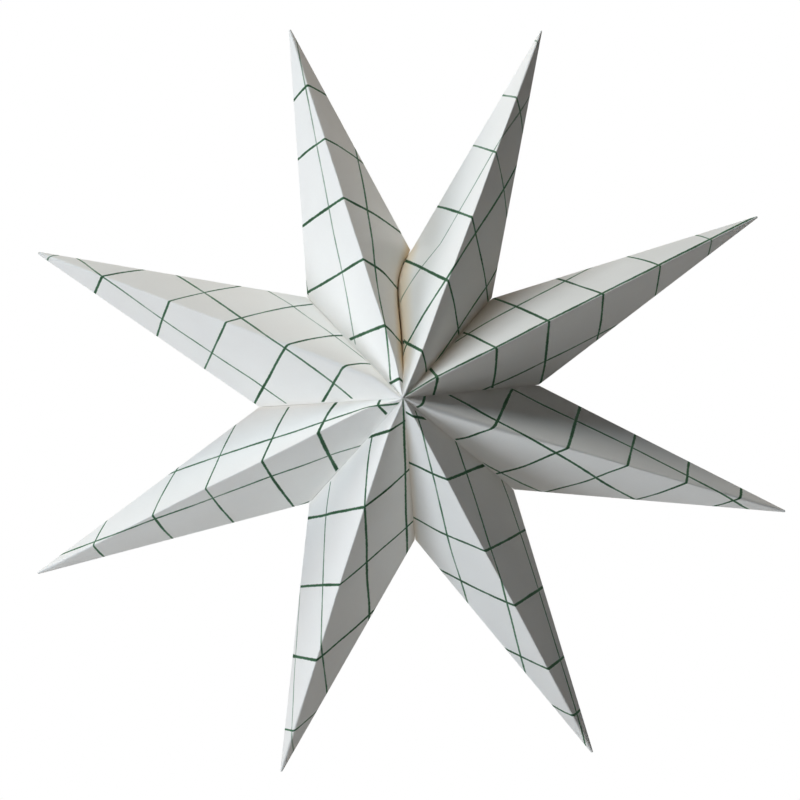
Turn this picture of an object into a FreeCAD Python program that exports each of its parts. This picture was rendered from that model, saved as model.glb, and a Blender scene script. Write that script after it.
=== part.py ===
# A folded paper star with eight hollow points, as a parametric FreeCAD document.
#
# Each point is one sheet: four facets meet at the tip, two webs run in to the hub, and the
# sheet closes on itself with a tab behind its back ridge. The webs of neighbouring points
# are glued face to face. Between the two top points they are only drawn together, so a
# cleft shows there.
#
# Frame: the hub axis is Y, the front apex points to -Y, Z is up, and the origin is the
# middle of the hub. Lengths are in millimetres and angles in degrees.
import FreeCAD, Part
import math
import os
import sys
from FreeCAD import Placement, Rotation, Vector

sheetSizes = [
    ("reach", 150, "hub axis to the tip of an even point"),
    ("valley_reach", 53.5, "hub axis to the notch between two even points"),
    ("apex_depth", 53, "middle plane to the front or back apex"),
    ("paper", 0.25, "thickness of the sheet"),
    ("crease_radius", 0.25, "outside of a sharp crease"),
    ("seam_radius", 0.4, "outside of the fold from a facet into its web"),
    ("lip_roll", 8, "outside of the same fold on one side of the cleft, at the notch"),
    ("glue_film", 0.1, "space between two glued webs"),
    ("cleft_gap", 1.0, "space between the two webs of the cleft, at the notch"),
    ("hub_clearance", 1.4, "hub axis to the inner fold of each point"),
    ("tip_blunt", 2.6, "length lost from the sharp end of each point"),
    ("tab_width", 9, "closing tab, across the back ridge"),
    ("tab_end_gap", 14, "closing tab, left bare at each end of the back ridge"),
]

# How far the hand-made star strays from the even one. Points run clockwise, seen from the
# front: name, longer reach, turn anticlockwise, then the same for the valley after it.
uneven = [
    ("top_left", -4.0, -5.4, 2.7, -3.0),
    ("top_right", -1.4, 1.9, -2.8, 3.4),
    ("right_upper", 0.7, 4.6, -1.8, 5.5),
    ("right_lower", 0.9, 6.0, 1.0, 5.4),
    ("bottom_right", 2.0, 5.6, 0.4, 4.8),
    ("bottom_left", -1.3, 4.4, -0.1, 3.1),
    ("left_lower", 3.5, 3.1, 1.3, 3.5),
    ("left_upper", -1.1, 0.8, -0.6, -1.4),
]
cleftAfter = "top_left"
cleftAngle = 90.0
step = 360.0 / len(uneven)

# The hidden side of a bend is made of flats. This is how far, as a share of the paper's
# thickness, a corner between two flats may stand outside the true bend.
evenness = 0.2

document = FreeCAD.newDocument("FoldedPaperStar")


def addSheet():
    """The spreadsheet with every driving size, one row each."""
    sheet = document.addObject("Spreadsheet::Sheet", "Sizes")
    rows = list(sheetSizes)
    for name, reach, turn, valleyReach, valleyTurn in uneven:
        rows.append(("extra_reach_" + name, reach, "longer reach of this point"))
        rows.append(("turn_" + name, turn, "turn of this point about the hub"))
        rows.append(("extra_valley_" + name, valleyReach, "deeper valley after this point"))
        rows.append(("valley_turn_" + name, valleyTurn, "turn of the valley after this point"))
    for row, (alias, value, note) in enumerate(rows, start=1):
        sheet.set("A%d" % row, note)
        sheet.set("B%d" % row, str(value))
        sheet.setAlias("B%d" % row, alias)
    return sheet


sheet = addSheet()
document.recompute()


def size(alias):
    return float(sheet.get(alias))


def onStar(reach, angle):
    """A place in the middle plane, by its distance and direction from the hub axis."""
    turned = math.radians(angle)
    return Vector(reach * math.cos(turned), 0, reach * math.sin(turned))


def tipOf(index):
    name = uneven[index][0]
    angle = cleftAngle + step / 2 - step * index + size("turn_" + name)
    return onStar(size("reach") + size("extra_reach_" + name), angle)


def sharpTipOf(index):
    """Where the four facets of a point would meet if its end were not blunt."""
    tip = tipOf(index)
    return tip + Vector(tip).normalize() * size("tip_blunt")


def notchAfter(index):
    name = uneven[index][0]
    angle = cleftAngle - step * index + size("valley_turn_" + name)
    return onStar(size("valley_reach") + size("extra_valley_" + name), angle)


def movedAside(notch, tip, distance):
    """A notch moved along the circle of notches, towards a point's own tip."""
    aside = Vector(-notch.z, 0, notch.x).normalize()
    if aside.dot(tip - notch) < 0:
        aside = -aside
    return notch + aside * distance


def planeThrough(a, b, c, inside):
    """A plane as one of its points and the normal that points away from inside."""
    normal = (b - a).cross(c - a).normalize()
    if normal.dot(inside - a) > 0:
        normal = -normal
    return a, normal


def movedIn(plane, distance):
    point, normal = plane
    return point - normal * distance, normal


def hullOf(planes):
    """The convex solid behind a set of planes, cut from a block larger than the star."""
    span = 4 * size("reach")
    solid = Part.makeBox(span, span, span, Vector(-span / 2, -span / 2, -span / 2))
    for point, normal in planes:
        waste = Part.makeBox(2 * span, 2 * span, 2 * span, Vector(-span, -span, 0))
        waste.Placement = Placement(point, Rotation(Vector(0, 0, 1), normal))
        solid = solid.cut(waste)
    return solid.Solids[0]


def creaseNumber(solid, firstPlane, secondPlane):
    """The number of the edge where two planes of the solid meet, and its two ends."""
    tolerance = 1e-4
    for number, edge in enumerate(solid.Edges, start=1):
        ends = [edge.firstVertex().Point, edge.lastVertex().Point]
        if all(abs((end - point).dot(normal)) < tolerance
               for end in ends for point, normal in (firstPlane, secondPlane)):
            return number, ends
    raise ValueError("no crease between two facets")


def addHull(label, planes):
    hull = document.addObject("Part::Feature", label)
    hull.Shape = hullOf(planes)
    return hull


def hubDistance(place):
    return math.hypot(place.x, place.z)


def bendFlats(solid, firstPlane, secondPlane, nearRadius, farRadius):
    """The planes that stand in for a bend that opens like a cone: each one touches the cone
    along its whole length, at even turns between the two planes that the bend joins. A tight
    fold needs none."""
    number, ends = creaseNumber(solid, firstPlane, secondPlane)
    near, far = sorted(ends, key=hubDistance)
    run = (far - near).normalize()
    opening = (farRadius - nearRadius) / (far - near).Length
    firstNormal = firstPlane[1]
    secondNormal = secondPlane[1]
    turn = firstNormal.getAngle(secondNormal)
    middle = (firstNormal + secondNormal).normalize()
    stretch = 1 / math.cos(turn / 2)
    count = 0
    while farRadius * (1 / math.cos(turn / 2 / (count + 1)) - 1) > evenness * size("paper"):
        count += 1
    flats = []
    for flat in range(1, count + 1):
        share = turn * flat / (count + 1)
        facing = (firstNormal * math.sin(turn - share) + secondNormal * math.sin(share)).normalize()
        lean = opening * (stretch * facing.dot(middle) - 1)
        normal = (facing + run * lean).normalize()
        flats.append((near - middle * stretch * nearRadius + normal * nearRadius, normal))
    return flats


def addFolds(label, hull, planes, folds):
    """Rounds the creases of a hull. Each fold names its two planes and the radius at the
    end near the hub and at the far end, so that a bend can open out like a cone."""
    rounded = document.addObject("Part::Fillet", label)
    rounded.Base = hull
    edges = []
    for firstPlane, secondPlane, nearRadius, farRadius in folds:
        number, ends = creaseNumber(hull.Shape, planes[firstPlane], planes[secondPlane])
        if hubDistance(ends[0]) < hubDistance(ends[1]):
            edges.append((number, nearRadius, farRadius))
        else:
            edges.append((number, farRadius, nearRadius))
    rounded.Edges = edges
    return rounded


def addTab(name, planes, ridgeStart, ridgeEnd):
    """The closing tab: a strip of paper against the inside of one back facet."""
    facetPoint, outward = planes["back_before"]
    along = (ridgeEnd - ridgeStart).normalize()
    across = outward.cross(along).normalize()
    if across.dot(planes["back_after"][1]) > 0:
        across = -across
    width = size("tab_width")
    bare = size("tab_end_gap")
    start = ridgeStart + along * bare
    end = ridgeEnd - along * bare
    outline = [start, end, end - along * width + across * width, start + along * width + across * width]
    strip = document.addObject("Part::Feature", "tab_outline_" + name)
    strip.Shape = Part.Face(Part.makePolygon(outline + outline[:1]))
    tab = document.addObject("Part::Extrusion", "tab_" + name)
    tab.Base = strip
    tab.DirMode = "Custom"
    tab.Dir = -outward
    tab.Solid = True
    tab.setExpression("LengthFwd", "2 mm * Sizes.paper")
    return tab


def addPoint(index):
    """One hollow point of the star, from its corners to the finished sheet."""
    name = uneven[index][0]
    paper = size("paper")
    film = size("glue_film")
    tip = sharpTipOf(index)
    notchBefore = notchAfter(index - 1)
    notchNext = notchAfter(index)
    seam = size("seam_radius")
    lip = seam
    if uneven[index - 1][0] == cleftAfter:
        notchBefore = movedAside(notchBefore, tip, (size("cleft_gap") - film) / 2)
        lip = size("lip_roll")
    if name == cleftAfter:
        notchNext = movedAside(notchNext, tip, (size("cleft_gap") - film) / 2)
    front = Vector(0, -size("apex_depth"), 0)
    back = Vector(0, size("apex_depth"), 0)
    middle = (tip + notchBefore + notchNext) / 3
    outward = Vector(tip).normalize()

    outer = {
        "hub": (outward * size("hub_clearance"), -outward),
        "tip": (tip - outward * size("tip_blunt"), outward),
        "front_before": planeThrough(tip, front, notchBefore, middle),
        "front_after": planeThrough(tip, front, notchNext, middle),
        "back_before": planeThrough(tip, back, notchBefore, middle),
        "back_after": planeThrough(tip, back, notchNext, middle),
        "web_before": movedIn(planeThrough(front, back, notchBefore, middle), film / 2),
        "web_after": movedIn(planeThrough(front, back, notchNext, middle), film / 2),
    }
    inner = {side: movedIn(plane, paper) for side, plane in outer.items()}

    crease = size("crease_radius")
    seams = [
        ("front_before", "web_before", seam, lip),
        ("front_after", "web_after", seam, seam),
        ("back_before", "web_before", seam, lip),
        ("back_after", "web_after", seam, seam),
    ]
    creases = [
        ("front_before", "front_after", crease, crease),
        ("back_before", "back_after", crease, crease),
        ("front_before", "back_before", crease, crease),
        ("front_after", "back_after", crease, crease),
    ]
    outerHull = addHull("outer_hull_" + name, list(outer.values()))
    outside = addFolds("outside_" + name, outerHull, outer, seams + creases)

    innerPlanes = list(inner.values())
    plainInside = hullOf(innerPlanes)
    flats = []
    for facet, web, nearRadius, farRadius in seams:
        flats += bendFlats(plainInside, inner[facet], inner[web], nearRadius - paper, farRadius - paper)
    inside = addHull("inside_" + name, innerPlanes + flats)
    tab = addTab(name, outer, back, tip)

    hollow = document.addObject("Part::Cut", "hollow_" + name)
    hollow.Base = inside
    hollow.Tool = tab
    point = document.addObject("Part::Cut", "point_" + name)
    point.Base = outside
    point.Tool = hollow
    point.Label = "point_" + name
    return point


points = [addPoint(index) for index in range(len(uneven))]
document.recompute()

for item in document.Objects:
    if "Invalid" in item.State or "Error" in item.State:
        sys.exit("%s did not build: %s" % (item.Label, item.State))
for point in points:
    if point.Shape.isNull() or not point.Shape.isValid():
        sys.exit(point.Label + " has no valid shape")

os.makedirs("parts", exist_ok=True)
for point in points:
    point.Shape.exportStep("parts/%s.step" % point.Label)
    print(point.Label, len(point.Shape.Solids), round(point.Shape.Volume, 1), len(point.Shape.Faces))
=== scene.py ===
# The finished paper star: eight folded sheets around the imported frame, in metres.
# The front of the star faces -Y, Z is up, and the origin is the middle of the hub.
import math
import random
import bmesh
import bpy
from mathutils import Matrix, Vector, noise


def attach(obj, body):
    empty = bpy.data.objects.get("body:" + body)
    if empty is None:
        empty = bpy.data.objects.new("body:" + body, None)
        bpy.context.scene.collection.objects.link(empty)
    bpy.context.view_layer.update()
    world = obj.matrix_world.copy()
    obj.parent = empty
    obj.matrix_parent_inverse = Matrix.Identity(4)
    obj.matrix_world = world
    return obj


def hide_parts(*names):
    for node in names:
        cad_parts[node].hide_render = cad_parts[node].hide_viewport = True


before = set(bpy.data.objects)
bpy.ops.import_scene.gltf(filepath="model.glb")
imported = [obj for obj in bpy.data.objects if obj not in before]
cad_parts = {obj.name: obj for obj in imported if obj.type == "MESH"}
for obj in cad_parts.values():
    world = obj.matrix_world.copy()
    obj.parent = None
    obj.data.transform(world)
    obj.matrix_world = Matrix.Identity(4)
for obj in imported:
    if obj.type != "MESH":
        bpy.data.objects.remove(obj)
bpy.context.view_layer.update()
print("frame loaded, nodes:", len(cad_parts))

mm = 0.001

# The star as a whole, in millimetres and degrees
star = {
    "reach": 150.0,         # hub to the tip of an even point
    "valleyReach": 53.5,    # hub to an even notch
    "apexDepth": 52.25,     # middle plane to the front or back apex
    "cleftAngle": 90.0,     # direction of an even cleft, from +X towards +Z
    "step": 45.0,           # from one even point to the next
    "glueGap": 0.04,        # between two glued webs
    "cleftGap": 0.2,        # between the webs of the cleft, at the notch
    "cleftOpening": 0.5,    # how much wider it opens half way in
    "cleftLean": 3.9,       # how far the cleft bulges to the left, before the notch
    "cleftSink": 1.3,       # how far its left side dips under its right side
    "hubLean": 1.0,         # how far the right side covers the hub
    "webBow": 0.7,          # how far two glued webs bow together, half way down
    "crease": 0.55,         # half width of a sharp crease
    "tipSoft": 0.8,         # how much wider a ridge gets towards the tip
    "seamCrease": 0.12,     # half width of the fold from a facet into its glued web
    "lipRoll": 3.2,         # half width of that fold on the right side of the cleft
    "sunkRoll": 2.6,        # half width of that fold on its left side
    "valleyWidth": 2.8,     # how far from a seam the two facets start to curve up to meet
    "valleyLift": 0.75,     # how far they rise where they meet
    "bow": 0.5,             # how far a facet swells from flat
    "waver": 0.35,          # slow unevenness inside a facet
    "ridgeWaver": 0.4,      # how far a ridge strays from straight
    "tipBlunt": 2.65,       # length lost from the sharp end
    "tipDome": 0.5,         # how much of the end is pressed round
}

# Where along a point each soft form sets in and dies out. Rows run from 0 at the hub through
# 1 at the notches to 2 at the tip, and a rate is how fast a form sets in, a row.
course = {
    "bulgePower": 2.4,          # the higher, the nearer to the notch the cleft bulges most
    "ridgeShiftRate": 4,        # the ridge's own place, from the hub
    "rollRate": 3,              # the soft folds of the cleft, from the hub
    "notchEaseStart": 0.55,     # from here a seam's fold turns into the crease past the notch
    "notchEaseSpan": 0.4,
    "ridgeRollRate": 5,         # a worn ridge, from the hub
    "ridgeRollEnd": 1.25,       # it is sharp again from this row on
    "tipSoftStart": 1.5,        # from here a ridge gets softer towards the tip
    "tipSoftSpan": 0.4,
    "valleyRate": 5,            # the facets' rise at their seam, from the hub
    "valleyEndRate": 6,         # the same, from the notch
    "swellRate": 1.6,           # the swell of a facet, from the hub and from the tip
    "widthEaseStart": 0.3,      # across a facet, where one fold's width passes into the next's
    "widthEaseSpan": 0.4,
}

# The slow unevenness comes from noise: how fast it changes, and how far apart the points and
# their facets lie in it, so that no two are alike
unevenness = {
    "ridgePace": 3.1, "ridgeStep": 5.3, "ridgeSeed": 0.4,
    "rowPace": 2.2, "sharePace": 1.6, "pointStep": 7.7, "sideStep": 3.9, "facetSeed": 2.5,
}

# Each point, clockwise from the cleft. "reach" and "turn" move its tip from the even star,
# "valleyReach" and "valleyTurn" the notch after it. "ridgeShift" moves its ridges sideways,
# most of all near the hub, and "ridgeRoll" wears them round. The ruled lines are listed on
# the flat sheet as (distance from the front apex, turn): "across" the ridge, where they are
# even at a turn of 0, and "along" it. A third number makes a line heavier or lighter.
points = {
    "topLeft": {
        "node": "point_top_left", "reach": -4.0, "turn": -5.4,
        "valleyReach": 2.7, "valleyTurn": -3.0, "ridgeShift": -1.4,
        "across": ((129, 5), (104, 11), (79, 11, 1.1), (53.5, 12, 1.2),
                   (27, 15, 1.25), (7.5, 7, 1.1)),
        "along": ((-51, 11), (-24, 10, 0.9), (-6.5, 14), (28, 14))},
    "topRight": {
        "node": "point_top_right", "reach": -1.4, "turn": 1.9,
        "valleyReach": -2.8, "valleyTurn": 3.4, "ridgeShift": -0.4,
        "across": ((139, 24, 0.7), (117.5, 22, 0.8), (94, 23, 0.8), (68.5, 22),
                   (43.5, 23), (17.5, 22, 1.1)),
        "along": ((-37, 20, 0.85), (-17, 19, 1.1), (4.5, 22))},
    "rightUpper": {
        "node": "point_right_upper", "reach": 0.7, "turn": 4.6,
        "valleyReach": -1.8, "valleyTurn": 5.5, "ridgeShift": 0.9, "ridgeRoll": 1.0,
        "across": ((137, -2, 0.8), (112.5, -3, 0.9), (86.5, -3, 1.1), (62.5, -1, 1.1),
                   (39.5, 0, 1.1), (14.5, 13, 1.2)),
        "along": ((-17.5, -4), (-1, 0, 1.25), (20, 3))},
    "rightLower": {
        "node": "point_right_lower", "reach": 0.88, "turn": 6.0,
        "valleyReach": 1.0, "valleyTurn": 5.4, "ridgeShift": -1.2, "ridgeRoll": 2.2,
        "across": ((128, 23, 1.1), (107.5, 21), (83, 23), (60.5, 22, 1.2),
                   (32.5, 24, 1.1), (7, 17, 1.1)),
        "along": ((-44.5, 20, 1.1), (-18, 21, 1.2), (12.5, 17))},
    "bottomRight": {
        "node": "point_bottom_right", "reach": 2.0, "turn": 5.6,
        "valleyReach": 0.4, "valleyTurn": 4.8, "ridgeShift": 0.1,
        "across": ((133, 21), (113, 20, 1.1), (84.5, 21, 1.1), (61, 22),
                   (32, 22, 1.2), (6.5, 35, 1.1)),
        "along": ((-52, 20), (-26, 19), (-5, 20))},
    "bottomLeft": {
        "node": "point_bottom_left", "reach": -1.35, "turn": 4.4,
        "valleyReach": -0.1, "valleyTurn": 3.1, "ridgeShift": -1.4,
        "across": ((155.5, -29, 1.8), (121.5, -29, 0.9), (94, -29, 1.1), (64, -32),
                   (36, -34, 1.1), (11, -33, 1.1)),
        "along": ((0, -28, 1.15), (19, -26, 1.15), (49, -29), (69, -29, 0.8))},
    "leftLower": {
        "node": "point_left_lower", "reach": 3.5, "turn": 3.1,
        "valleyReach": 1.3, "valleyTurn": 3.5, "ridgeShift": -2.6,
        "across": ((130.5, 15, 0.85), (103, 16, 0.85), (81, 14, 0.9), (56, 16),
                   (32.5, 18, 1.3), (9.5, 0, 1.0)),
        "along": ((-47, 8), (-21.5, 10), (-2.5, 14, 1.05), (27, 14))},
    "leftUpper": {
        "node": "point_left_upper", "reach": -1.1, "turn": 0.8,
        "valleyReach": -0.6, "valleyTurn": -1.4, "ridgeShift": -3.3, "ridgeRoll": 2.0,
        "across": ((137, 26, 0.8), (115, 26), (91, 22, 0.9), (68, 23, 0.9),
                   (44, 24), (23, 23)),
        "along": ((-48, 22, 0.95), (-19.5, 21), (4.5, 21, 0.8))},
}
names = list(points)
cleftSeam = names.index("topLeft")      # a seam has the number of the point before it

# How finely a sheet is divided: columns of a facet and of a web, rows up to the notch and
# from there to the tip, and rows over the blunt end
fineness = {
    "facet": 26, "web": 10, "innerRows": 36, "outerRows": 48, "tipRows": 3,
    "doubles": 0.0003,      # corners closer than this are one, in millimetres
}

# A point has six sides, in order round it: front facet, web and back facet after the ridge,
# then back facet, web and front facet before it
afterRidge = (0, 1, 2)
webSides = (1, 4)
frontSides = (0, 5)
ridgeToSeam = (0, 3)        # the facets whose columns run from the ridge to the seam


def onStar(reach, angle):
    turned = math.radians(angle)
    return Vector((reach * math.cos(turned), 0, reach * math.sin(turned)))


def sharpTip(index):
    point = points[names[index]]
    angle = star["cleftAngle"] + star["step"] / 2 - star["step"] * index + point["turn"]
    return onStar(star["reach"] + point["reach"] + star["tipBlunt"], angle)


def notchAfter(index):
    point = points[names[index]]
    angle = star["cleftAngle"] - star["step"] * index + point["valleyTurn"]
    return onStar(star["valleyReach"] + point["valleyReach"], angle)


def sideways(notch):
    # along the circle of notches, anticlockwise as seen from the front
    return Vector((-notch.z, 0, notch.x)).normalized()


def smoothStep(t):
    t = min(max(t, 0.0), 1.0)
    return t * t * (3 - 2 * t)


def flatCorner(a, b, c, flatA, flatB, side):
    # where corner c of a facet lies on the flat sheet, beside its flat edge from a to b
    edge = b - a
    along = (c - a).dot(edge) / edge.length
    across = math.sqrt(max((c - a).length_squared - along * along, 0))
    run = (flatB - flatA).normalized()
    return flatA + run * along + Vector((-run.y, run.x)) * across * side


def flatPlace(place, corners, flats):
    # a place of a folded facet, carried over to the flat sheet
    a, b, c = corners
    ab, ac, away = b - a, c - a, place - a
    abab, abac, acac = ab.dot(ab), ab.dot(ac), ac.dot(ac)
    abAway, acAway = ab.dot(away), ac.dot(away)
    area = abab * acac - abac * abac
    shareB = (acac * abAway - abac * acAway) / area
    shareC = (abab * acAway - abac * abAway) / area
    return flats[0] * (1 - shareB - shareC) + flats[1] * shareB + flats[2] * shareC


def cornersOf(index):
    # the corners of one point, and its six sides both folded and flat, in order round it
    tip = sharpTip(index)
    front = Vector((0, -star["apexDepth"], 0))
    back = Vector((0, star["apexDepth"], 0))
    seams = {}
    for side, seam, sign in (("before", (index - 1) % len(names), -1), ("after", index, 1)):
        gap = star["cleftGap"] if seam == cleftSeam else star["glueGap"]
        notch = notchAfter(seam)
        aside = sideways(notch)
        notch = notch + aside * gap / 2 * sign
        seams[side] = {
            "notch": notch, "aside": aside, "lift": star["valleyLift"],
            "roll": star["seamCrease"], "lean": 0, "hubLean": 0, "sink": 0, "opening": 0}
        if seam == cleftSeam:
            seams[side].update(lift=0, lean=star["cleftLean"])
            if side == "before":
                seams[side].update(roll=star["lipRoll"], hubLean=star["hubLean"])
            else:
                seams[side].update(
                    roll=star["sunkRoll"], sink=star["cleftSink"], opening=star["cleftOpening"])
    ridge = tip - front
    feet = [(seams[side]["notch"] - front).dot(ridge) / ridge.length_squared for side in seams]
    form = {
        "index": index, "tip": tip, "front": front, "back": back, "seams": seams,
        "notchShare": sum(feet) / 2, "ridgeShift": points[names[index]]["ridgeShift"],
        "ridgeRoll": points[names[index]].get("ridgeRoll", 0)}
    zero = Vector((0, 0))
    flatTip = Vector((ridge.length, 0))
    faces = []
    for side, sign in (("after", 1), ("before", -1)):
        notch = seams[side]["notch"]
        flatNotch = flatCorner(front, tip, notch, zero, flatTip, sign)
        flatWeb = flatCorner(front, notch, back, zero, flatNotch, sign)
        flatBack = flatCorner(notch, tip, back, flatNotch, flatTip, sign)
        faces.append([
            ((front, notch, tip), (zero, flatNotch, flatTip)),
            ((front, notch, back), (zero, flatNotch, flatWeb)),
            ((back, notch, tip), (flatBack, flatNotch, flatTip))])
    form["faces"] = faces[0] + faces[1][::-1]
    return form


def sectionAt(form, row, creased=True):
    # the six corners of a cross-section, at row 0 by the hub, 1 at the notches, 2 at the tip;
    # uncreased, it is the even section that the flat sheet is measured by
    tip, front, back = form["tip"], form["front"], form["back"]
    corners = {}
    share = form["notchShare"] * row
    if row > 1:
        share = 1 - (1 - form["notchShare"]) * (2 - row)
    for side, seam in form["seams"].items():
        for end, apex, inwards in (("front", front, 1), ("back", back, -1)):
            if row > 1:
                corners[end, side] = seam["notch"].lerp(tip, row - 1)
                continue
            bulge = math.sin(math.pi * row ** course["bulgePower"])
            lean = seam["lean"] * bulge + seam["hubLean"] * (1 - row) ** 3
            deep = math.sin(math.pi * row) * (1 - row) * 2      # 1 half way down
            lean += seam["opening"] * deep
            sink = Vector((0, inwards, 0)) * seam["sink"] * deep
            corners[end, side] = apex.lerp(seam["notch"], row) + seam["aside"] * lean + sink
    stray = Vector()
    if creased:
        waver = noise.noise(Vector((
            row * unevenness["ridgePace"], form["index"] * unevenness["ridgeStep"],
            unevenness["ridgeSeed"])))
        waver *= star["ridgeWaver"] * min(row, 1) * min(2 - row, 1)
        shift = form["ridgeShift"] * (1 - share) * smoothStep(row * course["ridgeShiftRate"])
        stray = sideways(tip) * (waver + shift)
    return [
        front.lerp(tip, share) + stray, corners["front", "after"], corners["back", "after"],
        back.lerp(tip, share) + stray, corners["back", "before"], corners["front", "before"]]


def outlineOf(corners):
    # lengths round a closed outline, and its running sum of places, so that any stretch of
    # it can be averaged at once
    starts, sums, total, length = [], [], Vector(), 0.0
    for k, corner in enumerate(corners):
        following = corners[(k + 1) % len(corners)]
        starts.append(length)
        sums.append(total.copy())
        side = (following - corner).length
        total += (corner + following) / 2 * side
        length += side
    return {"corners": corners, "starts": starts, "sums": sums, "total": total, "length": length}


def runningSum(outline, distance):
    laps = math.floor(distance / outline["length"])
    distance -= laps * outline["length"]
    k = max(i for i, start in enumerate(outline["starts"]) if start <= distance)
    corner = outline["corners"][k]
    following = outline["corners"][(k + 1) % len(outline["corners"])]
    side = (following - corner).length
    past = distance - outline["starts"][k]
    place = outline["sums"][k] + corner * past
    if side > 0:
        place = place + (following - corner) * past * past / (2 * side)
    return place + outline["total"] * laps


def softened(outline, distance, width):
    # folds are rounded by averaging the outline over the width of the fold
    stretch = runningSum(outline, distance + width) - runningSum(outline, distance - width)
    return stretch / (2 * width)


def foldWidths(form, row):
    # half width of the fold at each corner of the section
    widths = {}
    for side, seam in form["seams"].items():
        opened = smoothStep(row * course["rollRate"])
        widths[side] = star["seamCrease"] + (seam["roll"] - star["seamCrease"]) * opened
        notchEase = smoothStep((row - course["notchEaseStart"]) / course["notchEaseSpan"])
        widths[side] += (star["crease"] - widths[side]) * notchEase
    worn = smoothStep(row * course["ridgeRollRate"]) * smoothStep(course["ridgeRollEnd"] - row)
    ridge = star["crease"] + form["ridgeRoll"] * worn
    ridge += star["tipSoft"] * smoothStep((row - course["tipSoftStart"]) / course["tipSoftSpan"])
    return [ridge, widths["after"], widths["after"], ridge, widths["before"], widths["before"]]


def sheetColumns():
    # as (side, share of it), closer together towards the folds
    counts = [fineness["facet"], fineness["web"], fineness["facet"]] * 2
    columns = []
    for edge, count in enumerate(counts):
        for k in range(count):
            columns.append((edge, 0.5 - 0.5 * math.cos(math.pi * k / count)))
    return columns + [(len(counts) - 1, 1.0)]


def sheetRows(form):
    # as (row, swell): swell runs from 0 to 1 over the pressed end
    length = (form["tip"] - form["seams"]["after"]["notch"]).length
    last = 1 - (star["tipBlunt"] + star["tipDome"]) / length
    rows = [(k / fineness["innerRows"], 0.0) for k in range(fineness["innerRows"])]
    for k in range(fineness["outerRows"] + 1):
        rows.append((1 + last * k / fineness["outerRows"], 0.0))
    for k in range(fineness["tipRows"]):
        rows.append((1 + last, (k + 1) / fineness["tipRows"]))
    return rows


def facetSwell(form, edge, row, share):
    # facets are never quite flat: a slight even swell and a slow waver
    inside = 4 * share * (1 - share)
    reach = min(row, 2 - row) if row > 0 else 0
    grain = noise.noise(Vector((
        row * unevenness["rowPace"] + form["index"] * unevenness["pointStep"],
        share * unevenness["sharePace"] + edge * unevenness["sideStep"], unevenness["facetSeed"])))
    swell = star["bow"] + 2 * star["waver"] * grain * inside
    return inside * min(reach * course["swellRate"], 1) * swell


def toSeam(place, flats):
    # distance on the flat sheet from a place to the seam, which runs from flats[0] to flats[1]
    run = flats[1] - flats[0]
    share = min(max((place - flats[0]).dot(run) / run.length_squared, 0), 1)
    return (place - flats[0] - run * share).length


def valleyRise(distance, row):
    # glued facets curve up to meet each other
    if distance >= star["valleyWidth"] or row >= 1:
        return 0.0
    start = smoothStep(row * course["valleyRate"])
    end = smoothStep((1 - row) * course["valleyEndRate"])
    return (1 - distance / star["valleyWidth"]) ** 2 * start * end


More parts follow.
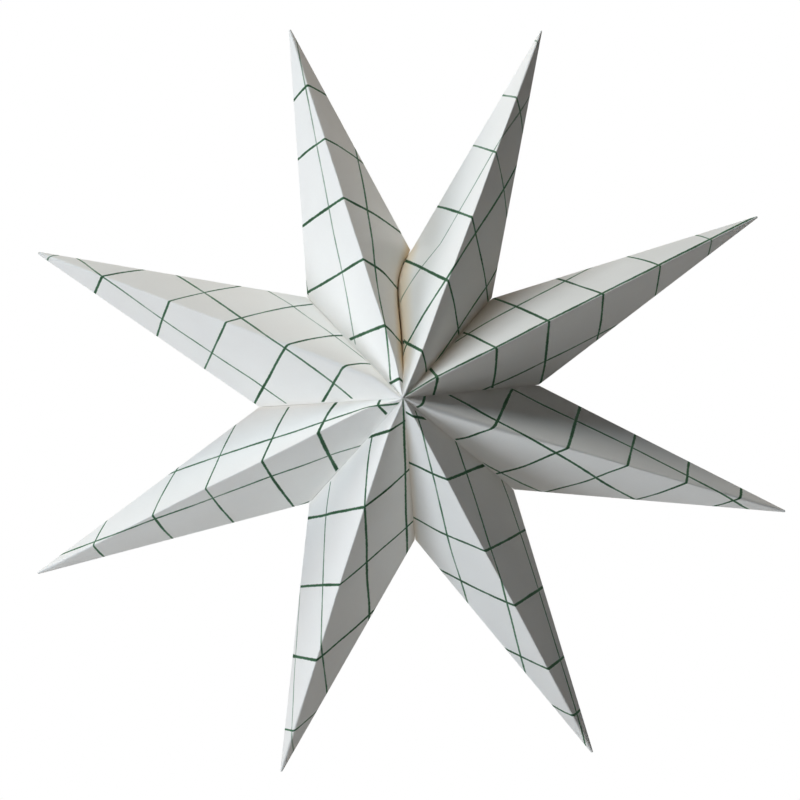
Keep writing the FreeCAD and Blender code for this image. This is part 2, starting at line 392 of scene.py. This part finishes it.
def foldSheet(index):
    form = cornersOf(index)
    columns, rows = sheetColumns(), sheetRows(form)
    sections = [sectionAt(form, row) for row, swell in rows]
    evenSections = [sectionAt(form, row, creased=False) for row, swell in rows]
    outlines = [outlineOf(section) for section in sections]
    bm = bmesh.new()
    flatLayer = bm.loops.layers.uv.new("sheet")
    marginLayer = bm.loops.layers.uv.new("margin")
    bmesh.ops.create_grid(bm, x_segments=len(columns) - 1, y_segments=len(rows) - 1, size=1)
    spots = {}
    for vert in bm.verts:
        column = round((vert.co.x + 1) / 2 * (len(columns) - 1))
        line = round((vert.co.y + 1) / 2 * (len(rows) - 1))
        spots[vert] = (column, line)

    # the printed pattern is laid out on the flat sheet, before it is folded
    for face in bm.faces:
        edge = columns[min(spots[vert][0] for vert in face.verts)][0]
        corners, flats = form["faces"][edge]
        for loop in face.loops:
            column, line = spots[loop.vert]
            share = columns[column][1] if columns[column][0] == edge else 1.0
            section = evenSections[line]
            place = section[edge].lerp(section[(edge + 1) % len(section)], share)
            flat = flatPlace(place, corners, flats)
            loop[flatLayer].uv = flat * mm
            # the margin is below 0 on a web, and its second value tells the two seams apart
            margin = toSeam(flat, flats) * (-1 if edge in webSides else 1)
            loop[marginLayer].uv = Vector((margin * mm, 0 if edge in afterRidge else 1))

    outward = form["tip"].normalized()
    middles = [sum(section, Vector()) / len(section) for section in sections]
    for vert in bm.verts:
        column, line = spots[vert]
        edge, share = columns[column]
        row, swell = rows[line]
        section, outline = sections[line], outlines[line]
        start, end = section[edge], section[(edge + 1) % len(section)]
        length = (end - start).length
        widths = foldWidths(form, row)
        ease = smoothStep((share - course["widthEaseStart"]) / course["widthEaseSpan"])
        width = widths[edge] * (1 - ease) + widths[(edge + 1) % len(widths)] * ease
        width = min(width, outline["length"] / len(section))
        place = softened(outline, outline["starts"][edge] + share * length, width)
        seam = form["seams"]["after" if edge in afterRidge else "before"]
        if edge in webSides:
            bow = 4 * share * (1 - share) * math.sin(math.pi * min(row, 1))
            place = place + seam["aside"] * star["webBow"] * bow
            rise = valleyRise(0, row) * (1 - 2 * share) * (1 if edge == 1 else -1)
            place = place + Vector((0, -1, 0)) * seam["lift"] * rise
        else:
            fromSeam = (1 - share if edge in ridgeToSeam else share) * length
            outwards = Vector((0, -1 if edge in frontSides else 1, 0))
            place = place + outwards * seam["lift"] * valleyRise(fromSeam, row)
            a, b, c = form["faces"][edge][0]
            normal = (b - a).cross(c - a).normalized()
            if normal.dot(place - middles[line]) < 0:
                normal = -normal
            place = place + normal * facetSwell(form, edge, row, share)
        if swell > 0:
            place = place.lerp(middles[line], 1 - math.sqrt(1 - swell * swell))
            place = place + outward * star["tipDome"] * swell
        vert.co = place * mm
    bmesh.ops.remove_doubles(bm, verts=bm.verts, dist=fineness["doubles"] * mm)
    bmesh.ops.holes_fill(bm, edges=[rim for rim in bm.edges if rim.is_boundary])
    bmesh.ops.recalc_face_normals(bm, faces=bm.faces)
    mesh = bpy.data.meshes.new(names[index] + "Sheet")
    bm.to_mesh(mesh)
    bm.free()
    mesh.shade_smooth()
    sheet = bpy.data.objects.new(names[index] + "Sheet", mesh)
    bpy.context.scene.collection.objects.link(sheet)
    return sheet


def addNode(tree, kind, **values):
    node = tree.nodes.new(kind)
    for name, value in values.items():
        setattr(node, name, value)
    return node


def feed(tree, socket, value):
    # a socket takes a number, a colour, or what another node puts out
    if isinstance(value, tuple):
        socket.default_value = (*value, 1)
    elif isinstance(value, (int, float)):
        socket.default_value = value
    else:
        tree.links.new(value, socket)


def calculate(tree, operation, *values):
    node = addNode(tree, "ShaderNodeMath", operation=operation)
    for socket, value in zip(node.inputs, values):
        feed(tree, socket, value)
    return node.outputs[0]


def mixColours(tree, factor, first, second):
    node = addNode(tree, "ShaderNodeMix", data_type="RGBA")
    for number, value in ((0, factor), (6, first), (7, second)):    # its sockets for colours
        feed(tree, node.inputs[number], value)
    return node.outputs[2]


def mapRange(tree, value, fromRange, toRange=(0, 1), kind="SMOOTHSTEP"):
    node = addNode(tree, "ShaderNodeMapRange", interpolation_type=kind)
    labels = ("Value", "From Min", "From Max", "To Min", "To Max")
    for label, entry in zip(labels, (value, *fromRange, *toRange)):
        feed(tree, node.inputs[label], entry)
    return node.outputs["Result"]


def splitVector(tree, vector):
    node = addNode(tree, "ShaderNodeSeparateXYZ")
    feed(tree, node.inputs[0], vector)
    return node.outputs


def newGroup(name, enters, leaves):
    group = bpy.data.node_groups.new(name, "ShaderNodeTree")
    for label, kind in enters:
        group.interface.new_socket(label, in_out="INPUT", socket_type="NodeSocket" + kind)
    for label, kind in leaves:
        group.interface.new_socket(label, in_out="OUTPUT", socket_type="NodeSocket" + kind)
    return group, addNode(group, "NodeGroupInput").outputs, addNode(group, "NodeGroupOutput").inputs


def noiseAt(tree, place, scale, detail, seed=None):
    node = addNode(tree, "ShaderNodeTexNoise", noise_dimensions="4D" if seed is not None else "3D")
    feed(tree, node.inputs["Vector"], place)
    feed(tree, node.inputs["Scale"], scale)
    feed(tree, node.inputs["Detail"], detail)
    if seed is not None:
        feed(tree, node.inputs["W"], seed)
    return node.outputs["Fac"]


# The pen: colours are linear, lengths are millimetres on the flat sheet
ink = {
    "square": 25.0,                                 # from one even line to the next
    "acrossWidth": 0.92, "alongWidth": 0.88,        # usual width of a line
    "acrossStrength": 0.95, "alongStrength": 0.68,  # usual darkness of a line
    "weightToStrength": 1.5, "palest": 0.45,        # a heavier line is darker too
    "widthSpread": (0.9, 1.1),                      # by how much single lines vary in width
    "stopSpread": (-0.3, 1.3),                      # how far before a seam a line stops, or past it
    "cleftStop": -2,                                # the same at the open cleft: it goes on
    "stopFade": (-0.2, 0.3),                        # where it fades out, about its stop
    "core": 0.3, "rim": 0.7,                        # shares of its width: full, faded out
    "waver": 0.7, "waverScale": 30,                 # how far it strays, and how fast
    "pressure": 0.8, "pressureScale": 90,           # how its width changes along the way
    "bleed": 0.7, "bleedScale": 800,                # how rough its rims are
    "leastStroke": 0.25,                            # share of its width that always stays
    "pressureRange": (0.3, 0.65), "strengthRange": (0.72, 1),
    "thin": (0.07, 0.19, 0.10), "thinRange": (0.0, 0.6),            # a light stroke is pale
    "full": (0.016, 0.062, 0.024), "fullRange": (0.45, 1.0),        # a firm one nearly black
    "firstSeed": 40, "handStep": 2.7,
}


def makeInkLine():
    # one hand-ruled line on the flat sheet, as a mask
    labels = ("Waver", "Stroke", "Turn", "Offset", "Width", "Strength", "Stop After", "Stop Before")
    enters = [("Sheet", "Vector"), ("Margin", "Vector")] + [(label, "Float") for label in labels]
    group, enter, leave = newGroup("inkLine", enters, [("Ink", "Float")])
    turned = addNode(group, "ShaderNodeVectorRotate", rotation_type="Z_AXIS")
    feed(group, turned.inputs["Vector"], enter["Sheet"])
    feed(group, turned.inputs["Angle"], enter["Turn"])
    across = splitVector(group, turned.outputs[0])["X"]
    away = calculate(group, "SUBTRACT", across, enter["Offset"])
    distance = calculate(group, "ABSOLUTE", calculate(group, "ADD", away, enter["Waver"]))
    width = calculate(group, "MULTIPLY", enter["Width"], enter["Stroke"])
    core = calculate(group, "MULTIPLY", width, ink["core"])
    rim = calculate(group, "MULTIPLY", width, ink["rim"])
    stroke = mapRange(group, distance, (core, rim), (1, 0))
    # the line stops a little before the seam, or just runs over it
    beside = splitVector(group, enter["Margin"])
    change = calculate(group, "SUBTRACT", enter["Stop Before"], enter["Stop After"])
    stop = calculate(group, "MULTIPLY_ADD", beside["Y"], change, enter["Stop After"])
    fade = [calculate(group, "ADD", stop, margin * mm) for margin in ink["stopFade"]]
    drawn = calculate(group, "MULTIPLY", stroke, mapRange(group, beside["X"], fade))
    feed(group, leave["Ink"], calculate(group, "MULTIPLY", drawn, enter["Strength"]))
    return group


def makeHand():
    # how the pen strays from its line, and how its width and its weight change on the way
    leaves = [("Waver", "Float"), ("Stroke", "Float"), ("Strength", "Float")]
    group, enter, leave = newGroup("hand", [("Sheet", "Vector"), ("Seed", "Float")], leaves)
    slow = noiseAt(group, enter["Sheet"], ink["waverScale"], 1, enter["Seed"])
    waver = ink["waver"] * mm
    feed(group, leave["Waver"], calculate(group, "MULTIPLY_ADD", slow, 2 * waver, -waver))
    pressure = noiseAt(group, enter["Sheet"], ink["pressureScale"], 2, enter["Seed"])
    bleed = noiseAt(group, enter["Sheet"], ink["bleedScale"], 2)
    rough = calculate(group, "MULTIPLY_ADD", bleed, ink["bleed"], ink["leastStroke"])
    feed(group, leave["Stroke"], calculate(group, "MULTIPLY_ADD", pressure, ink["pressure"], rough))
    strength = mapRange(group, pressure, ink["pressureRange"], ink["strengthRange"])
    feed(group, leave["Strength"], strength)
    return group


# The sheet: colours are linear, lengths are millimetres, and a noise scale is in waves a metre
paper = {
    "light": (0.925, 0.92, 0.89), "dull": (0.90, 0.89, 0.86),
    "toneRange": (0.35, 0.65),                  # where the mottling goes from dull to light
    "cloudScale": 70, "fineScale": 1400,
    "fibreScale": 900, "fibreStretch": (1, 1.6, 0.45),
    "coarseShare": 0.6,                         # of mottling and grain; the rest is fine
    "grain": 0.12, "grainHeight": 0.2,          # strength and depth of the bumps
    "roughness": 0.8, "specular": 0.3,
    "seamShadeColour": (0.80, 0.65, 0.42),                 # painted warm shade, where the seams and the cleft lie in shadow
    "shadeReach": 3.5, "shadeReachCleft": 6.5,    # how far from a seam
    "shadeFromHub": (6, 20),                     # sets in and is full at these distances
    "seamShadeStrength": {"topLeft": 0.95, "topRight": 0.4, "bottomRight": 0.35},    # strength of the painted shade at the seam after a point
    "seamShadeElsewhere": 0.08,
    "seamShadeBefore": 0.6,                      # share of it on the far side of a seam
}


def makePaperGrain():
    # fine fibres and soft mottling of the sheet, on Object coordinates
    leaves = [("Tone", "Float"), ("Height", "Float")]
    group, enter, leave = newGroup("paperGrain", [("Place", "Vector")], leaves)
    cloud = noiseAt(group, enter["Place"], paper["cloudScale"], 3)
    fine = noiseAt(group, enter["Place"], paper["fineScale"], 3)
    stretched = addNode(group, "ShaderNodeMapping")
    stretched.inputs["Scale"].default_value = paper["fibreStretch"]
    feed(group, stretched.inputs["Vector"], enter["Place"])
    fibre = noiseAt(group, stretched.outputs[0], paper["fibreScale"], 4)
    faint = calculate(group, "MULTIPLY", fine, 1 - paper["coarseShare"])
    for label, coarse in (("Tone", cloud), ("Height", fibre)):
        mixed = calculate(group, "MULTIPLY_ADD", coarse, paper["coarseShare"], faint)
        feed(group, leave[label], mixed)
    return group


inkLine = makeInkLine()
penHand = makeHand()
paperGrain = makePaperGrain()


def strokesOf(index):
    # every line of one sheet as (distance, direction, width, strength); past the listed ones
    # they go on evenly over the hidden side
    own = points[names[index]]
    corners = [flat for folded, flats in cornersOf(index)["faces"] for flat in flats]
    strokes = []
    for kind, quarter in (("across", 0), ("along", 90)):
        listed = sorted(own[kind])
        usual = sum(line[1] for line in listed) / len(listed)
        turned = math.radians(usual + quarter)
        facing = Vector((math.cos(turned), math.sin(turned)))
        reaches = [corner.dot(facing) for corner in corners]
        lines = list(listed)
        paces = [(listed[0][0], -ink["square"])]
        if kind == "along":     # the lines across stop at the tip
            paces.append((listed[-1][0], ink["square"]))
        for start, pace in paces:
            place = start + pace
            while min(reaches) < place < max(reaches):
                lines.append((place, usual))
                place += pace
        for line in lines:
            weight = line[2] if len(line) > 2 else 1
            pressed = ink[kind + "Strength"] + (weight - 1) * ink["weightToStrength"]
            pressed = min(max(pressed, ink["palest"]), 1)
            strokes.append((line[0], line[1] + quarter, ink[kind + "Width"] * weight, pressed))
    return strokes


def drawLines(tree, index, sheet, margin):
    # every ruled line of one sheet, as one mask
    hand = addNode(tree, "ShaderNodeGroup", node_tree=penHand)
    feed(tree, hand.inputs["Sheet"], sheet)
    feed(tree, hand.inputs["Seed"], index * ink["handStep"])
    chance = random.Random(index + ink["firstSeed"])
    mask = None
    for distance, direction, width, strength in strokesOf(index):
        line = addNode(tree, "ShaderNodeGroup", node_tree=inkLine)
        values = {
            "Sheet": sheet, "Margin": margin, "Strength": strength,
            "Waver": hand.outputs["Waver"], "Stroke": hand.outputs["Stroke"],
            "Turn": -math.radians(direction), "Offset": distance * mm,
            "Width": width * mm * chance.uniform(*ink["widthSpread"])}
        for label, seam in (("Stop After", index), ("Stop Before", (index - 1) % len(names))):
            stop = chance.uniform(*ink["stopSpread"])
            values[label] = (ink["cleftStop"] if seam == cleftSeam else stop) * mm
        for label, value in values.items():
            feed(tree, line.inputs[label], value)
        drawn = line.outputs["Ink"]
        mask = calculate(tree, "MAXIMUM", mask, drawn) if mask else drawn
    return calculate(tree, "MULTIPLY", mask, hand.outputs["Strength"])


def paintedSeamShade(tree, index, sheet, margin):
    # painted warm shade towards the sheet's seams, most of all in the cleft, but not at the hub
    reaches, strengths = [], []
    for seam, share in ((index, 1.0), ((index - 1) % len(names), paper["seamShadeBefore"])):
        reaches.append(paper["shadeReachCleft" if seam == cleftSeam else "shadeReach"] * mm)
        strengths.append(paper["seamShadeStrength"].get(names[seam], paper["seamShadeElsewhere"]) * share)
    beside = splitVector(tree, margin)
    reach, strength = [
        calculate(tree, "MULTIPLY_ADD", beside["Y"], before - after, after)
        for after, before in (reaches, strengths)]
    near = mapRange(tree, beside["X"], (0, reach), (1, 0))
    fromHub = addNode(tree, "ShaderNodeVectorMath", operation="LENGTH")
    feed(tree, fromHub.inputs[0], sheet)
    hubRange = [distance * mm for distance in paper["shadeFromHub"]]
    outward = mapRange(tree, fromHub.outputs["Value"], hubRange)
    return calculate(tree, "MULTIPLY", near, calculate(tree, "MULTIPLY", strength, outward))


def makePaper(index):
    material = bpy.data.materials.new(names[index] + "Paper")
    material.use_nodes = True
    tree = material.node_tree
    tree.nodes.clear()
    out = addNode(tree, "ShaderNodeOutputMaterial")
    shader = addNode(tree, "ShaderNodeBsdfPrincipled")
    feed(tree, out.inputs["Surface"], shader.outputs[0])
    feed(tree, shader.inputs["Roughness"], paper["roughness"])
    feed(tree, shader.inputs["Specular IOR Level"], paper["specular"])
    sheet = addNode(tree, "ShaderNodeUVMap", uv_map="sheet").outputs[0]
    margin = addNode(tree, "ShaderNodeUVMap", uv_map="margin").outputs[0]
    grain = addNode(tree, "ShaderNodeGroup", node_tree=paperGrain)
    feed(tree, grain.inputs["Place"], addNode(tree, "ShaderNodeTexCoord").outputs["Object"])
    tone = mapRange(tree, grain.outputs["Tone"], paper["toneRange"], kind="LINEAR")
    colour = mixColours(tree, tone, paper["dull"], paper["light"])
    # the seams and the cleft darken to a painted warm shade
    colour = mixColours(tree, paintedSeamShade(tree, index, sheet, margin), colour, paper["seamShadeColour"])
    mask = drawLines(tree, index, sheet, margin)
    for weight in ("thin", "full"):
        share = mapRange(tree, mask, ink[weight + "Range"], kind="LINEAR")
        colour = mixColours(tree, share, colour, ink[weight])
    feed(tree, shader.inputs["Base Color"], colour)
    bump = addNode(tree, "ShaderNodeBump")
    feed(tree, bump.inputs["Strength"], paper["grain"])
    feed(tree, bump.inputs["Distance"], paper["grainHeight"] * mm)
    feed(tree, bump.inputs["Height"], grain.outputs["Height"])
    feed(tree, shader.inputs["Normal"], bump.outputs[0])
    return material


for index, name in enumerate(names):
    sheet = foldSheet(index)
    sheet.data.materials.append(makePaper(index))
    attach(sheet, "root")
    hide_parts(points[name]["node"])
print("sheets folded and printed:", len(names))

# Lamps, camera and floor, in metres, degrees and watts
studio = {
    "fill": 0.045, "fillColour": (1.0, 0.96, 0.92),
    "lamps": {
        "above": {
            "place": (-0.5, -0.4, 1.2), "size": 0.7, "power": 8.5, "colour": (0.70, 0.88, 1.0)},
        "behind": {
            "place": (-0.1, -0.12, 1.35), "size": 0.7, "power": 4.6, "colour": (1.0, 0.72, 0.48)},
        "window": {
            "place": (-1.1, -0.7, -0.35), "size": 0.6, "power": 9.7, "colour": (0.81, 0.895, 0.99)},
        "beside": {
            "place": (-1.38, -0.1, 0.35), "size": 0.6, "power": 4.5, "colour": (1.0, 0.84, 0.74)},
    },
    "cameraPlace": (-0.00121, -0.606, -0.00069),
    "fieldWidth": 0.3032,       # what the camera sees of the middle plane, side to side
    "sensor": 36,               # in millimetres
    "floorDrop": 0.33, "floorRadius": 0.62, "floorSides": 64, "floorColour": (0.8, 0.8, 0.8),
}


def isSeenDirectly(tree):
    # true for what the camera sees, also in a mirror or through glass
    rays = addNode(tree, "ShaderNodeLightPath").outputs
    straight = calculate(tree, "MAXIMUM", rays["Is Camera Ray"], rays["Is Transmission Ray"])
    return calculate(tree, "MAXIMUM", straight, rays["Is Glossy Ray"])


def whiteWhereSeen(tree, shader, white, surface):
    # the second shader shows, while the first one takes part in the light
    mix = addNode(tree, "ShaderNodeMixShader")
    sources = (isSeenDirectly(tree), shader.outputs[0], white.outputs[0])
    for socket, source in zip(mix.inputs, sources):
        feed(tree, socket, source)
    feed(tree, surface, mix.outputs[0])


def makeRoom():
    world = bpy.data.worlds.new("room")
    bpy.context.scene.world = world
    world.use_nodes = True
    tree = world.node_tree
    tree.nodes.clear()
    out = addNode(tree, "ShaderNodeOutputWorld")
    soft = addNode(tree, "ShaderNodeBackground")
    feed(tree, soft.inputs["Color"], studio["fillColour"])
    feed(tree, soft.inputs["Strength"], studio["fill"])
    white = addNode(tree, "ShaderNodeBackground")
    feed(tree, white.inputs["Color"], (1, 1, 1))
    whiteWhereSeen(tree, soft, white, out.inputs["Surface"])


def addLamp(name, values):
    light = bpy.data.lights.new(name, "AREA")
    light.size = values["size"]
    light.energy = values["power"]
    light.color = values["colour"]
    lamp = bpy.data.objects.new(name, light)
    lamp.location = values["place"]
    lamp.rotation_euler = (-Vector(values["place"])).to_track_quat("-Z", "Y").to_euler()
    bpy.context.scene.collection.objects.link(lamp)


def addCamera():
    data = bpy.data.cameras.new("camera")
    camera = bpy.data.objects.new("camera", data)
    camera.location = studio["cameraPlace"]
    camera.rotation_euler = (math.pi / 2, 0, 0)
    data.sensor_width = studio["sensor"]
    data.lens = studio["sensor"] * -studio["cameraPlace"][1] / studio["fieldWidth"]
    bpy.context.scene.collection.objects.link(camera)
    bpy.context.scene.camera = camera


def addFloor():
    bm = bmesh.new()
    bmesh.ops.create_circle(
        bm, cap_ends=True, segments=studio["floorSides"], radius=studio["floorRadius"])
    bmesh.ops.translate(bm, verts=bm.verts, vec=(0, 0, -studio["floorDrop"]))
    mesh = bpy.data.meshes.new("floor")
    bm.to_mesh(mesh)
    bm.free()
    floor = bpy.data.objects.new("floor", mesh)
    bpy.context.scene.collection.objects.link(floor)
    material = bpy.data.materials.new("floor")
    material.use_nodes = True
    tree = material.node_tree
    shader = tree.nodes["Principled BSDF"]
    feed(tree, shader.inputs["Base Color"], studio["floorColour"])
    glow = addNode(tree, "ShaderNodeEmission")
    whiteWhereSeen(tree, shader, glow, tree.nodes["Material Output"].inputs["Surface"])
    mesh.materials.append(material)


makeRoom()
for lampName, lampValues in studio["lamps"].items():
    addLamp(lampName, lampValues)
addCamera()
addFloor()
bpy.context.scene.view_settings.view_transform = "Standard"
print("stage set")
